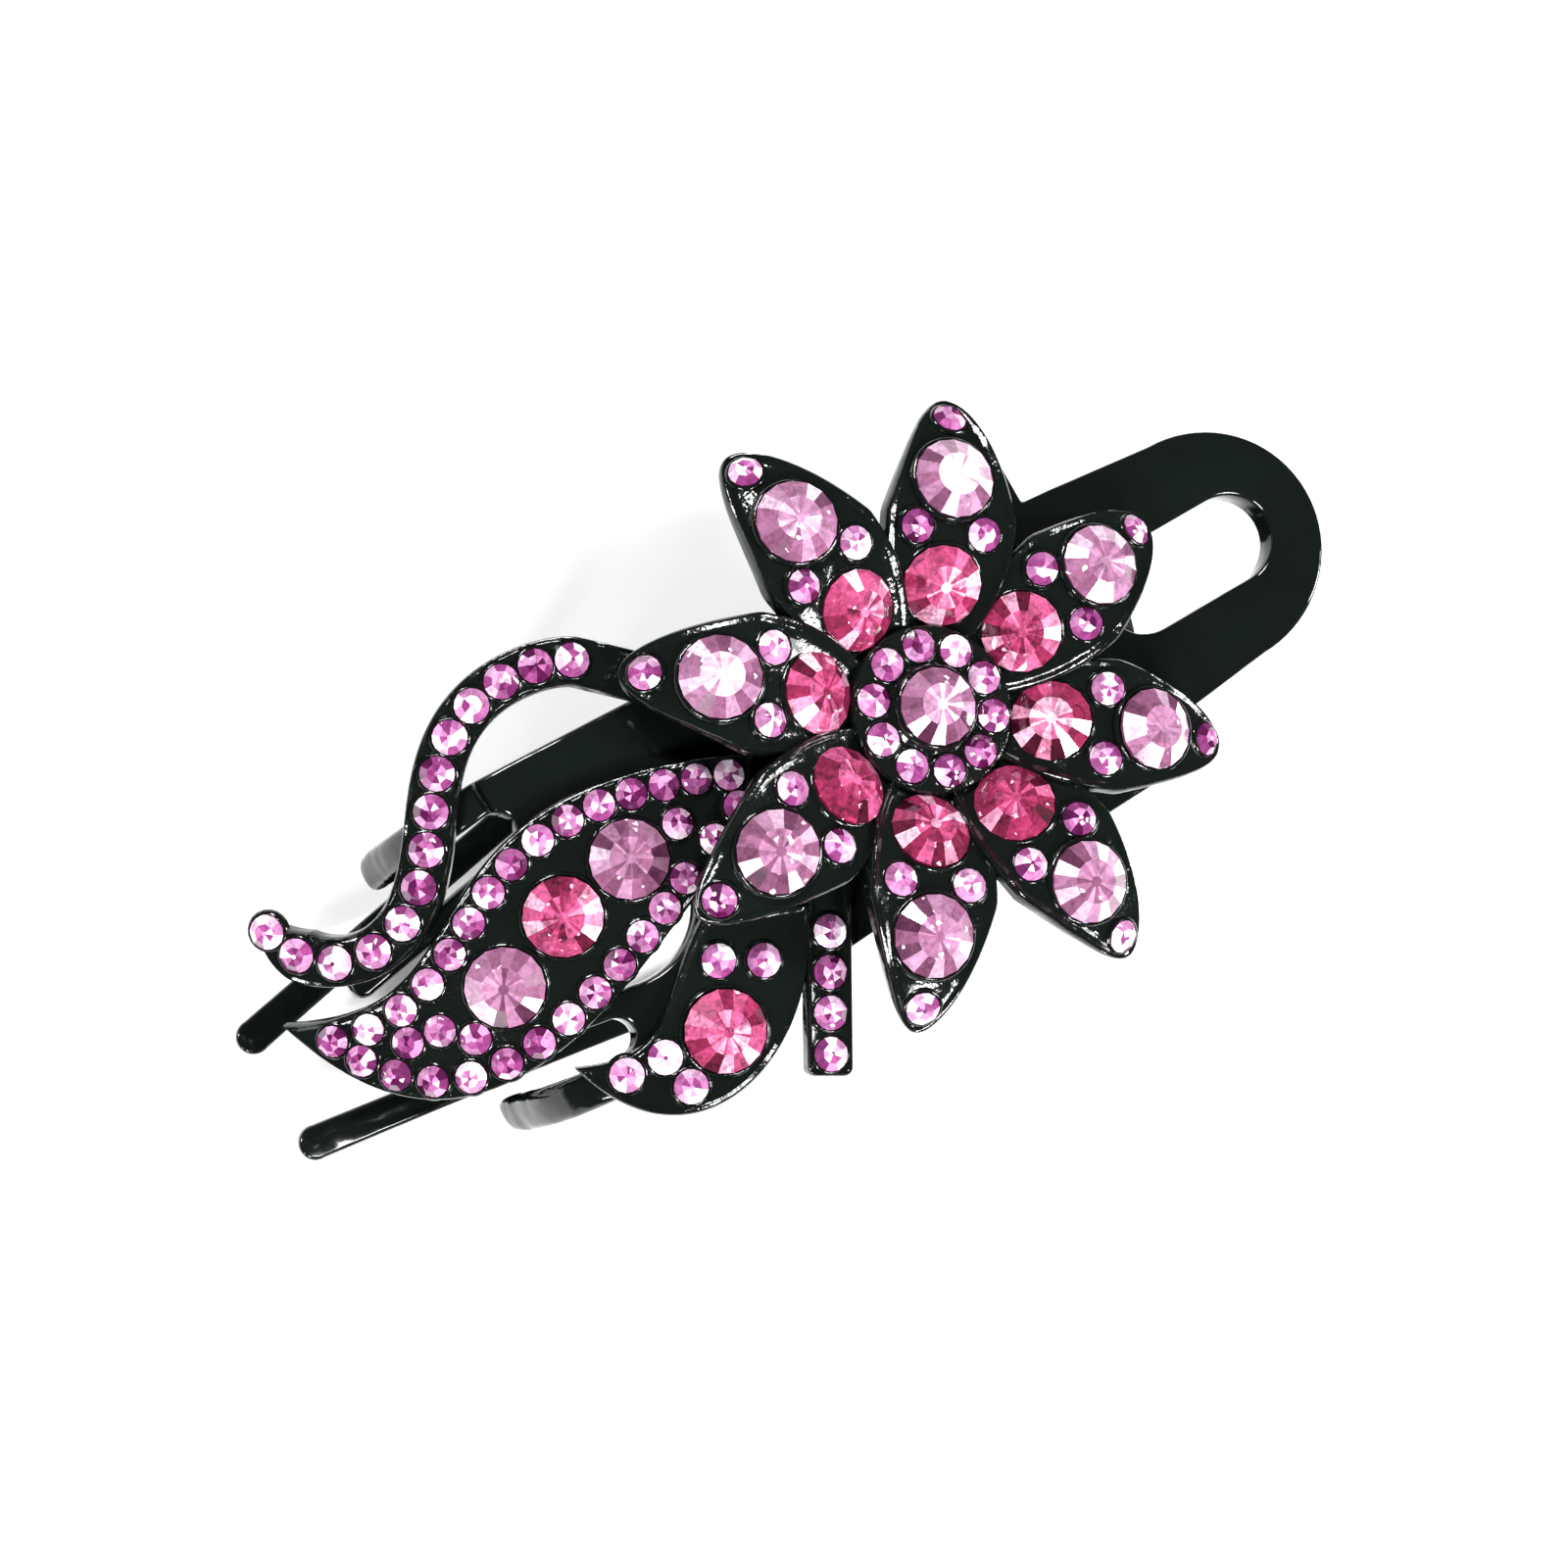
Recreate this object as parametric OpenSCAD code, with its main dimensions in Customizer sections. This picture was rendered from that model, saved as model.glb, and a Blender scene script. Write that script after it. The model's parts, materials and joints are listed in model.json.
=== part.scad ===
// Long two-jaw hair clip with a stone-set flower, leaf, tendril and bud on its upper jaw.
// +X runs from the tines to the finger loop, +Y across the clip, +Z up. Millimetres.
// The origin is under the middle of the clip, on the surface that it rests on.

/* [Clip] */
// Height of the flower's ring of stones above the surface that the clip rests on
flower_z = 33; // [32:0.5:36]
// Thickness of both jaw plates
plate_t = 3; // [2.4:0.1:3.4]
// Depth of the upper plate's top below the flower's ring of stones
plate_drop = 4.5; // [4.2:0.1:5]
// Sideways offset of the clip's centreline from the flower's centre
clip_y = -0.5; // [-1:0.1:1]
// Radius of the arch that the upper jaw and the leaf bend down along
arch_r = 70; // [65:1:80]
// Distance of the finger loop's end from the flower's centre
loop_end = 49; // [46:1:52]
// Distance of the long tines' tips from the flower's centre
tine_tip = 71; // [68:1:73]

/* [Hinge] */
// Hinge pin's distance from the flower's centre, towards the loop
pin_x = 17; // [16:0.5:18]
// Depth of the hinge pin below the flower's ring of stones
pin_drop = 15; // [14.5:0.5:16]
// Hinge pin's diameter
pin_d = 2; // [1.6:0.1:2.2]
// Radial play of the hinge pin in the lower jaw
pin_play = 0.05; // [0.03:0.01:0.08]
// Spring wire's diameter
wire_d = 1.2; // [1:0.1:1.3]
// Number of turns in the spring
spring_turns = 9; // [7:1:10]

/* [Flower] */
// Number of petals
petals = 8; // [8:1:8]
// Distance of a petal's tip from the flower's centre
petal_tip = 31.7; // [31:0.1:32.5]
// Widest width of a petal
petal_w = 12.8; // [12:0.1:13.4]
// Direction of the first petal
petal_turn = 10.1; // [5:0.1:15]
// Thickness of the petals, the leaf, the tendril, the bud and the stem
leaf_t = 1.5; // [1.3:0.1:1.8]
// Rising slope of a petal near the flower's centre, in degrees
petal_rise = 23; // [20:1:25]
// Bend radius of a petal's drooping outer half
petal_bend = 17.5; // [16:0.5:20]

/* [Stones] */
// Diameter of the large stones
large_d = 8; // [7.6:0.1:8.1]
// Diameter of the leaf's large stones
leaf_large_d = 7.6; // [7.2:0.1:7.7]
// Diameter of the flower's, the tendril's and the stem's small stones
small_d = 3.3; // [3.1:0.1:3.3]
// Diameter of the leaf's small stones
tiny_d = 3; // [2.8:0.1:3.1]
// Gap between a stone and the wall of its cup
stone_gap = 0.05; // [0.03:0.01:0.08]

/* [Hidden] */
$fn = 64;

// The plastic is black, the stones are rose and light pink.
black = [0.03, 0.035, 0.03];
steel = [0.7, 0.7, 0.72];
rose = [0.85, 0.15, 0.4];
light_pink = [0.93, 0.65, 0.85];
pink = [0.88, 0.45, 0.8];

mid_x = (loop_end - tine_tip) / 2;
plate_top = -plate_drop;
plate_bottom = plate_top - plate_t;
floor_z = -flower_z;
pin_z = -pin_drop;

// The arch: flat from the loop to arch_x, then a circle that falls towards the tines.
arch_x = -25;
function arch_fall(x, r) = x > arch_x ? 0 : r - sqrt(r * r - pow(x - arch_x, 2));
function arch_tilt(x, r) = x > arch_x ? 0 : asin((arch_x - x) / r);
spray_r = arch_r + leaf_t;
spray_top = plate_top + leaf_t;

// Points and lengths along a Bezier curve given by its control points.
function mix(a, b, t) = a * (1 - t) + b * t;
function bezier(p, t) = len(p) == 1 ? p[0]
    : bezier([for (i = [0:len(p) - 2]) mix(p[i], p[i + 1], t)], t);
function across(p, t) = let (d = bezier(p, t + 0.001) - bezier(p, t - 0.001))
    [-d[1], d[0]] / norm(d);
function beside(p, t, off) = bezier(p, t) + off * across(p, t);
STEPS = 60;
function track(p, off) = [for (i = [0:STEPS]) beside(p, i / STEPS, off)];
function run_to(c, n) = n == 0 ? 0 : run_to(c, n - 1) + norm(c[n] - c[n - 1]);
function lengths(c) = [for (i = [0:STEPS]) [run_to(c, i), i / STEPS]];
// n points at equal steps along a curve's offset, from one length to another.
function row(p, off, n, from, to) = let (table = lengths(track(p, off)))
    [for (i = [0:n - 1]) beside(p, lookup(mix(from, to, i / (n - 1)), table), off)];

module place() {
    translate([-mid_x, 0, flower_z]) children();
}

module place_jaw() {
    place() translate([0, clip_y, 0]) children();
}

// A side profile, drawn in X and Z, made into a bar across the clip.
module side(width) {
    rotate([90, 0, 0]) linear_extrude(height = width, center = true) children();
}

module across_pin(length, r) {
    translate([pin_x, 0, pin_z]) rotate([90, 0, 0]) cylinder(h = length, r = r, center = true);
}

// A ring's sector between two angles, under 180 degrees apart.
module arc_band(outer_r, thick, from, to) {
    far = 3 * outer_r;
    half = (from + to) / 2;
    intersection() {
        difference() {
            circle(r = outer_r, $fn = 180);
            circle(r = outer_r - thick, $fn = 180);
        }
        polygon([[0, 0], far * [cos(from), sin(from)], far * [cos(half), sin(half)],
            far * [cos(to), sin(to)]]);
    }
}

// ---- Upper jaw: plate, finger loop, four tines, two hinge ears ----

plate_half = 14.5;
fork_x = -28;
slot_x = -42;
slot_half = 1.85;
slot_y = 11.2;
inner_tip_x = -60;
hook_x = -30;
hook_r = 12.2;
hook_leg = 10.5;
ear_r = 5;
ear_in = 15.4;
ear_out = 18;
loop_start = 26;
loop_rise = 12;
loop_r = 12.3;

module upper_outline() {
    tip = 1.2;
    window_r = 8;
    difference() {
        union() {
            polygon([[loop_start, plate_half - 1], [12, plate_half], [slot_x, 16.4],
                [slot_x, -16.4], [12, -plate_half], [loop_start, 1 - plate_half]]);
            translate([pin_x - ear_r, -ear_out]) square(2 * [ear_r, ear_out]);
            translate([loop_end - loop_r, 0]) circle(r = loop_r);
            polygon([[loop_start, plate_half - 1], [loop_end - loop_r, loop_r],
                [loop_end - loop_r, -loop_r], [loop_start, 1 - plate_half]]);
            for (s = [0, 1]) mirror([0, s]) {
                polygon([[slot_x, 9.35], [slot_x, 7], [inner_tip_x + tip, 3.8],
                    [inner_tip_x + tip, 3.8 + 2 * tip]]);
                translate([inner_tip_x + tip, 3.8 + tip]) circle(r = tip);
                polygon([[slot_x, 16.4], [slot_x, slot_y + slot_half], [-56, 11.4],
                    [-56, 16], [-50, 16.2]]);
            }
        }
        // The window between the inner tines has a round end, like the slots beside them.
        translate([fork_x - window_r, 0]) circle(r = window_r);
        polygon([[fork_x - window_r, window_r], [slot_x - 1, 7], [slot_x - 1, -7],
            [fork_x - window_r, -window_r]]);
        for (s = [-1, 1]) translate([slot_x, s * slot_y]) circle(r = slot_half);
        upper_loop_hole();
    }
}

module upper_loop_hole() {
    hole_r = 4.6;
    hole_x = 39.2;
    translate([hole_x, -0.2]) circle(r = hole_r);
    translate([loop_start + 3, -0.2]) circle(r = hole_r);
    translate([loop_start + 3, -0.2 - hole_r]) square([hole_x - loop_start - 3, 2 * hole_r]);
}

// Seen from the side: the loop rises, the plate is flat and the tines follow the arch.
module upper_profile() {
    far = 2 * loop_end;
    rise = (far - loop_start) * tan(loop_rise);
    polygon([[arch_x, plate_top], [loop_start, plate_top], [far, plate_top + rise],
        [far, plate_top + rise - plate_t / cos(loop_rise)],
        [loop_start + plate_t * tan(loop_rise / 2), plate_bottom], [arch_x, plate_bottom]]);
    translate([arch_x, plate_top - arch_r]) arc_band(arch_r, plate_t, 90, 130);
}

// The outer tines leave the arch and hook down, each part thinner by a step than the one before.
module hook_profile() {
    bend_x = slot_x + 0.4;
    lean = arch_tilt(bend_x, arch_r);
    end = 170;
    step = 0.05;
    translate([arch_x, plate_top - arch_r]) arc_band(arch_r, plate_t, 90, 90 + lean);
    cx = bend_x + hook_r * sin(lean);
    cz = plate_top - arch_fall(bend_x, arch_r) - hook_r * cos(lean);
    translate([cx, cz]) {
        arc_band(hook_r - step, plate_t - 2 * step, 89 + lean, end);
        rotate(end) translate([hook_r - plate_t + 2 * step, -0.5])
            square([plate_t - 4 * step, hook_leg + 0.5]);
    }
}

// Seen from the end, each outer tine narrows to a round tip.
module hook_front() {
    tip_z = -23.8;
    tip_half = 2.3;
    translate([2 * slot_x, 13.7, 0]) rotate([90, 0, 90]) linear_extrude(height = -2 * slot_x) {
        translate([0, tip_z]) circle(r = tip_half);
        polygon([[-tip_half, tip_z], [tip_half, tip_z], [3.2, -14], [3.2, 0], [-3.2, 0],
            [-3.2, -14]]);
    }
}

module hook_side(to) {
    translate([2 * slot_x, slot_y, -50]) cube([to - 2 * slot_x, 20, 60]);
}

module upper_jaw() {
    color(black) place_jaw() difference() {
        union() {
            difference() {
                intersection() {
                    translate([0, 0, -60]) linear_extrude(height = 80) upper_outline();
                    side(60) upper_profile();
                }
                for (s = [0, 1]) mirror([0, s, 0]) hook_side(hook_x - 2);
            }
            for (s = [0, 1]) mirror([0, s, 0]) {
                intersection() {
                    translate([0, 0, -60]) linear_extrude(height = 80) upper_outline();
                    side(60) hook_profile();
                    hook_side(hook_x);
                    hook_front();
                }
                translate([0, (ear_in + ear_out) / 2, 0]) side(ear_out - ear_in) {
                    translate([pin_x, pin_z]) circle(r = ear_r);
                    translate([pin_x - ear_r, pin_z]) square([2 * ear_r, plate_bottom - pin_z + 1]);
                }
            }
        }
        across_pin(60, pin_d / 2);
    }
}

// ---- Lower jaw: belly plate, three tines, finger paddle, hinge knuckles ----

belly_from = -14;
belly_to = -30;
belly_r = 34;
front_r = 93;
lower_half = 14.6;
knuckle_r = 4.4;
knuckle_in = 7;
knuckle_out = 15;
paddle_fall = 24;
paddle_gap = 4.1;
window_x = -20;

module lower_outline() {
    tip_r = 1.7;
    tip_x = tip_r - tine_tip;
    tip_y = 5.9;
    difference() {
        union() {
            translate([belly_to - 0.01, -lower_half]) square([47, 2 * lower_half]);
            for (s = [0, 1]) mirror([0, s]) {
                polygon([[belly_to, lower_half + 0.1], [belly_to, 11.5],
                    [tip_x, tip_y - tip_r], [tip_x, tip_y + tip_r]]);
                translate([tip_x, tip_y]) circle(r = tip_r);
            }
            translate([-60, -1.8]) square([31, 3.6]);
            translate([-60, 0]) circle(r = 1.8);
        }
        for (s = [0, 1]) mirror([0, s]) {
            translate([window_x - 4.8, 6.7]) circle(r = 4.8);
            translate([belly_to - 1, 1.9]) square([-belly_to + window_x - 3.8, 9.6]);
        }
    }
}

module lower_profile() {
    translate([belly_to, floor_z]) square([belly_from - belly_to, plate_t]);
    translate([belly_to, floor_z + front_r]) arc_band(front_r, plate_t, 270 - 28, 270);
    translate([belly_from, floor_z + belly_r]) arc_band(belly_r, plate_t, 270, 270 + 62);
}

module lower_paddle() {
    end_r = 10;
    reach = (flower_z - pin_drop - paddle_gap * cos(paddle_fall) - plate_t * cos(paddle_fall))
        / sin(paddle_fall);
    translate([pin_x, 0, pin_z]) rotate([0, paddle_fall, 0])
        translate([0, 0, -paddle_gap - plate_t]) linear_extrude(height = plate_t) {
            translate([reach - end_r, 0]) circle(r = end_r);
            polygon([[-3, 13.5], [reach - end_r, end_r], [reach - end_r, -end_r], [-3, -13.5]]);
        }
}

// Two blocks under the upper plate stop the jaws as they close.
module lower_heels() {
    heel_top = plate_bottom - 0.3;
    for (s = [0, 1]) mirror([0, s, 0]) translate([0, 9.5, 0]) side(5)
        polygon([[10.5, -19.5], [13.5, -16.5], [14.5, -14], [13.5, heel_top], [10.5, heel_top]]);
}

module lower_jaw() {
    color(black) place_jaw() difference() {
        union() {
            intersection() {
                translate([0, 0, -60]) linear_extrude(height = 80) lower_outline();
                side(60) lower_profile();
            }
            lower_paddle();
            lower_heels();
            across_pin(2 * knuckle_out, knuckle_r);
        }
        across_pin(2 * knuckle_in, knuckle_r + 0.6);
        across_pin(60, pin_d / 2 + pin_play);
    }
}

// ---- Hinge ----

module hinge_pin() {
    head_t = 0.5;
    color(steel) place_jaw() {
        across_pin(2 * ear_out, pin_d / 2);
        for (s = [0, 1]) mirror([0, s, 0])
            translate([pin_x, ear_out, pin_z]) rotate([-90, 0, 0])
                cylinder(h = head_t, r1 = pin_d / 2 + 0.5, r2 = pin_d / 2);
    }
}

coil_r = 2.9;
leg_up = 20;

// The spring's coil lies round the pin, its legs press the plate and the paddle apart.
module torsion_spring() {
    wire_r = wire_d / 2;
    leg_r = 0.92 * wire_r;
    pitch = wire_d * 0.96;
    half = (spring_turns - 1) / 2 * pitch;
    up_leg = (plate_bottom - wire_d - 0.15 - pin_z - coil_r * cos(leg_up)) / sin(leg_up);
    color(steel) place_jaw() translate([pin_x, 0, pin_z]) {
        rotate([90, 0, 0]) rotate_extrude() for (i = [0:spring_turns - 1])
            translate([coil_r, i * pitch - half]) circle(r = wire_r, $fn = 24);
        // The legs are a little thinner than the coil's wire, so that they grow out of it.
        translate([0, half, 0]) rotate([0, -leg_up, 0]) translate([0, 0, coil_r])
            rotate([0, 90, 0]) cylinder(h = up_leg, r = leg_r, $fn = 24);
        translate([0, -half, 0]) rotate([0, paddle_fall, 0]) translate([0, 0, -coil_r])
            rotate([0, 90, 0]) cylinder(h = 16, r = leg_r, $fn = 24);
    }
}

// ---- Stones and their pockets ----

function is_large(d) = d > 5;
function crown(d) = is_large(d) ? 1.3 : 0.65;
function girdle(d) = is_large(d) ? 0.35 : 0.2;
function pavilion(d) = is_large(d) ? 0.9 : 0.5;

// A stone stands in a pocket, with its girdle just clear of the plastic.
module stone(d) {
    r = d / 2;
    translate([0, 0, -pavilion(d)]) cylinder(h = pavilion(d), r1 = 0.72 * r, r2 = r);
    cylinder(h = girdle(d), r = r);
    translate([0, 0, girdle(d)]) cylinder(h = crown(d), r1 = r, r2 = 0.55 * r);
}

module pocket(d) {
    translate([0, 0, -pavilion(d)]) cylinder(h = 5, r = d / 2 + stone_gap);
}

// ---- Flower ----

disc_r = 8.4;
straight_r = 14;
straight_h = 1.35;
bend_r = straight_r + petal_bend * sin(petal_rise);
bend_h = straight_h - petal_bend * cos(petal_rise);
function petal_h(r) = r < straight_r ? straight_h - (straight_r - r) * tan(petal_rise)
    : bend_h + sqrt(pow(petal_bend, 2) - pow(r - bend_r, 2));
function petal_slope(r) = r < straight_r ? petal_rise : asin((bend_r - r) / petal_bend);
function petal_angle(k) = petal_turn + (k - 1) * 360 / petals;

rose_at = 12.2;
shoulder_at = 17.3;
shoulder_off = 3.5;
light_at = 22.4;
tip_at = 29.1;
ring_n = 10;
ring_at = 6.25;
ring_turn = 36.7;
centre_h = 1;
centre_d = large_d - 0.3;

module petal_outline() {
    root = 3;
    length = petal_tip - root;
    r = (pow(length, 2) + pow(petal_w, 2)) / (4 * petal_w);
    intersection() {
        translate([root + length / 2, r - petal_w / 2]) circle(r = r, $fn = 180);
        translate([root + length / 2, petal_w / 2 - r]) circle(r = r, $fn = 180);
    }
}

module petal_profile() {
    intersection() {
        translate([bend_r, bend_h]) arc_band(petal_bend, leaf_t, 91 + petal_rise, 30);
        translate([0, -20]) square([petal_tip + 1, 40]);
    }
    drop = leaf_t / cos(petal_rise);
    inner = straight_r + leaf_t * sin(petal_rise);
    polygon([[0, petal_h(0)], [straight_r, straight_h],
        [inner, straight_h - leaf_t * cos(petal_rise)], [0, petal_h(0) - drop]]);
}

// Puts its children at a distance and direction from the flower's centre, square to the petal.
module at_petal(r, turn) {
    rotate([0, 0, turn]) translate([r, 0, petal_h(r)]) rotate([0, -petal_slope(r), 0]) children();
}

module at_shoulders(k) {
    r = norm([shoulder_at, shoulder_off]);
    swing = atan2(shoulder_off, shoulder_at);
    for (s = [-1, 1]) at_petal(r, petal_angle(k) + s * swing) children();
}

module at_ring() {
    for (i = [0:ring_n - 1])
        rotate([0, 0, ring_turn + i * 360 / ring_n]) translate([ring_at, 0, 0]) children();
}

module flower_base() {
    boss_r = 7.5;
    color(black) place() difference() {
        union() {
            intersection() {
                translate([0, 0, -20]) linear_extrude(height = 40)
                    for (k = [1:petals]) rotate(petal_angle(k)) petal_outline();
                rotate_extrude() petal_profile();
            }
            translate([0, 0, plate_top]) cylinder(h = -plate_top, r = boss_r);
            translate([0, 0, -2.2]) cylinder(h = 2.2, r = disc_r);
            cylinder(h = centre_h, r = centre_d / 2 + 0.4);
        }
        translate([0, 0, centre_h]) pocket(centre_d);
        at_ring() pocket(small_d);
        for (k = [1:petals]) {
            at_petal(rose_at, petal_angle(k)) pocket(large_d);
            at_petal(light_at, petal_angle(k)) pocket(large_d);
            at_petal(tip_at, petal_angle(k)) pocket(small_d);
            at_shoulders(k) pocket(small_d);
        }
    }
}

module flower_centre_stone() {
    color(light_pink) place() translate([0, 0, centre_h]) stone(centre_d);
}

module flower_ring_stones() {
    color(pink) place() at_ring() stone(small_d);
}

module petal_rose_stone(k) {
    color(rose) place() at_petal(rose_at, petal_angle(k)) stone(large_d);
}

module petal_light_stone(k) {
    color(light_pink) place() at_petal(light_at, petal_angle(k)) stone(large_d);
}

module petal_shoulder_stones() {
    color(pink) place() for (k = [1:petals]) at_shoulders(k) stone(small_d);
}

module petal_tip_stones() {
    color(pink) place() for (k = [1:petals]) at_petal(tip_at, petal_angle(k)) stone(small_d);
}

// ---- Leaf with its tendril, bud and stem: one arched layer under the flower ----

// The edges run from under the flower to the tips.
leaf_upper = [[-17, 5], [-51, 21], [-49, -5], [-67, 5]];
leaf_lower = [[-24, -2], [-39, -7], [-60, -21], [-67, 5]];
leaf_middle = [[-58.3, -2.2], [-55.4, -2.7], [-53.1, -5]];
tendril_root = [-19, 13];
tendril_line = [[-28, 21], [-34, 25], [-56, 25], [-38, 4], [-63, 0], [-64, 14]];
tendril_half = 2.4;
bud_upper = [[-47, -12], [-39, -16], [-38, -11], [-30, -6]];
bud_lower = [[-47, -12], [-43, -28], [-26, -23], [-20, -10]];
stem_root = [-17, -9];
stem_end = [-26.8, -25.2];
stem_half = 2.35;
stem_run = stem_end - stem_root;
stem_turn = atan2(stem_run[1], stem_run[0]);
upper_in = 2;
lower_in = 1.8;

leaf_large = [[-33.1, 2.3], [-41, 0.8], [-48.6, -2.2]];
leaf_root = [[-27.4, 2.9], [-25, -0.2], [-21.3, 1.4], [-29.4, -1.9]];
bud_large = [-33.4, -16.2];
bud_small = [[-30.6, -10.2], [-26.8, -12.4], [-39.4, -15.4], [-43.2, -15], [-38.7, -19]];

// The spray's top surface: its children stand square to it at a point.
module at_spray(p) {
    translate([p[0], p[1], spray_top - arch_fall(p[0], spray_r)])
        rotate([0, -arch_tilt(p[0], spray_r), 0]) children();
}

// An outline cut from the arched sheet that lies on the upper jaw.
module spray_sheet() {
    intersection() {
        translate([0, 0, -40]) linear_extrude(height = 60) children();
        side(80) {
            translate([arch_x, plate_top]) square([20, leaf_t]);
            translate([arch_x, plate_top - arch_r]) arc_band(spray_r, leaf_t, 90, 130);
        }
    }
}

function reversed(c) = [for (i = [len(c) - 1:-1:0]) c[i]];

module leaf_outline() {
    polygon(concat(track(leaf_upper, 0), reversed(track(leaf_lower, 0)), [[-16, -2]]));
}

// The tendril starts under a petal and narrows over the last part of its length.
module tendril_outline() {
    function half(t) = tendril_half * min(1, 0.3 + (1 - t) * 8);
    side_of_root = tendril_half * across(tendril_line, 0.001);
    polygon(concat([tendril_root + side_of_root],
        [for (i = [0:STEPS]) beside(tendril_line, i / STEPS, half(i / STEPS))],
        [for (i = [STEPS:-1:0]) beside(tendril_line, i / STEPS, -half(i / STEPS))],
        [tendril_root - side_of_root]));
}

leaf_upper_spots = row(leaf_upper, upper_in, 15, 3, 48.5);
leaf_lower_spots = row(leaf_lower, -lower_in, 11, 8.5, 42);
tendril_spots = row(tendril_line, 0, 14, 0.4, 46);

leaf_small = concat(leaf_upper_spots, leaf_lower_spots, leaf_middle, leaf_root);

module leaf_base() {
    color(black) place() difference() {
        spray_sheet() leaf_outline();
        for (p = leaf_large) at_spray(p) pocket(leaf_large_d);
        for (p = leaf_small) at_spray(p) pocket(tiny_d);
    }
}

module tendril_base() {
    color(black) place() difference() {
        spray_sheet() tendril_outline();
        for (p = tendril_spots) at_spray(p) pocket(small_d);
    }
}

module bud_base() {
    color(black) place() difference() {
        spray_sheet() difference() {
            polygon(concat(track(bud_upper, 0), reversed(track(bud_lower, 0))));
            // The stem passes beside it.
            translate(stem_root) rotate(stem_turn)
                translate([0, -stem_half - 0.2]) square([40, 2 * stem_half + 0.4]);
        }
        at_spray(bud_large) pocket(large_d);
        for (p = bud_small) at_spray(p) pocket(small_d);
    }
}

function stem_spot(i) = stem_end - stem_run / norm(stem_run) * (2.1 + 3.9 * i);

module stem_base() {
    length = norm(stem_run);
    corner = 0.8;
    color(black) place() difference() {
        spray_sheet() translate(stem_root) rotate(stem_turn)
            polygon([[0, -stem_half], [length - corner, -stem_half],
                [length, corner - stem_half], [length, stem_half - corner],
                [length - corner, stem_half], [0, stem_half]]);
        for (i = [0:3]) at_spray(stem_spot(i)) pocket(small_d);
    }
}

module leaf_large_stone(i, tint) {
    color(tint) place() at_spray(leaf_large[i]) stone(leaf_large_d);
}

module spray_stones(spots, d) {
    color(pink) place() for (p = spots) at_spray(p) stone(d);
}

module bud_rose_stone() {
    color(rose) place() at_spray(bud_large) stone(large_d);
}

module stem_stones() {
    color(pink) place() for (i = [0:3]) at_spray(stem_spot(i)) stone(small_d);
}

upper_jaw();
lower_jaw();
hinge_pin();
torsion_spring();
flower_base();
leaf_base();
tendril_base();
bud_base();
stem_base();
flower_centre_stone();
flower_ring_stones();
petal_rose_stone(1);  // petal_rose_stone_1
petal_rose_stone(2);  // petal_rose_stone_2
petal_rose_stone(3);  // petal_rose_stone_3
petal_rose_stone(4);  // petal_rose_stone_4
petal_rose_stone(5);  // petal_rose_stone_5
petal_rose_stone(6);  // petal_rose_stone_6
petal_rose_stone(7);  // petal_rose_stone_7
petal_rose_stone(8);  // petal_rose_stone_8
petal_light_stone(1);  // petal_light_stone_1
petal_light_stone(2);  // petal_light_stone_2
petal_light_stone(3);  // petal_light_stone_3
petal_light_stone(4);  // petal_light_stone_4
petal_light_stone(5);  // petal_light_stone_5
petal_light_stone(6);  // petal_light_stone_6
petal_light_stone(7);  // petal_light_stone_7
petal_light_stone(8);  // petal_light_stone_8
petal_shoulder_stones();
petal_tip_stones();
leaf_large_stone(0, light_pink);  // leaf_light_stone_near
leaf_large_stone(1, rose);  // leaf_rose_stone
leaf_large_stone(2, light_pink);  // leaf_light_stone_far
spray_stones(leaf_upper_spots, tiny_d);  // leaf_upper_row
spray_stones(leaf_lower_spots, tiny_d);  // leaf_lower_row
spray_stones(leaf_middle, tiny_d);  // leaf_middle_row
spray_stones(leaf_root, tiny_d);  // leaf_root_stones
spray_stones(tendril_spots, small_d);  // tendril_stones
bud_rose_stone();
spray_stones(bud_small, small_d);  // bud_small_stones
stem_stones();
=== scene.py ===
import json
import math
import random

import bmesh
import bpy
import numpy as np
from mathutils import Matrix, Vector


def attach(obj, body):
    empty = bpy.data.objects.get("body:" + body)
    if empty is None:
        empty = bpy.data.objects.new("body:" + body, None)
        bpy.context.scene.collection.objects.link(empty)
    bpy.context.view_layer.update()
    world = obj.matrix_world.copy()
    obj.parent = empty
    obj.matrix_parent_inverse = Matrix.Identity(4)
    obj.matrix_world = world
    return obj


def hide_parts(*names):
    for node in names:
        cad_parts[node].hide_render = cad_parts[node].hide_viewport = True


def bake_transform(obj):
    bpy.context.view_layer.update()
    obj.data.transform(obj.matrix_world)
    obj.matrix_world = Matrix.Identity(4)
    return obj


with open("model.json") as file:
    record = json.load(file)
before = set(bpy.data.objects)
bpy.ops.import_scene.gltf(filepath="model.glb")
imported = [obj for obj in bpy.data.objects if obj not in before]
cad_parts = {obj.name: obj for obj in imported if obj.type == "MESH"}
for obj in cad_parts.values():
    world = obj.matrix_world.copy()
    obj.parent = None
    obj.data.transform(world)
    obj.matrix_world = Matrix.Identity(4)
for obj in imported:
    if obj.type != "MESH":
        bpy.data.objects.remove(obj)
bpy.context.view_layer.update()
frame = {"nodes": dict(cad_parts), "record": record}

# ---- Camera ----
# It looks down on the flower from over the tines, from about a forearm's length.
camera = bpy.data.objects.new("camera", bpy.data.cameras.new("camera"))
bpy.context.collection.objects.link(camera)
look = Vector((0.32994, -0.03655, -0.94329)).normalized()
side = look.cross(Vector((0.48184, 0.8658, 0.13499))).normalized()
camera.matrix_world = Matrix.Translation((-0.0766, 0.0089, 0.2342)) @ Matrix(
    (side, side.cross(look), -look)
).transposed().to_4x4()
camera.data.lens = 51.7
camera.data.sensor_width = 36
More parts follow.
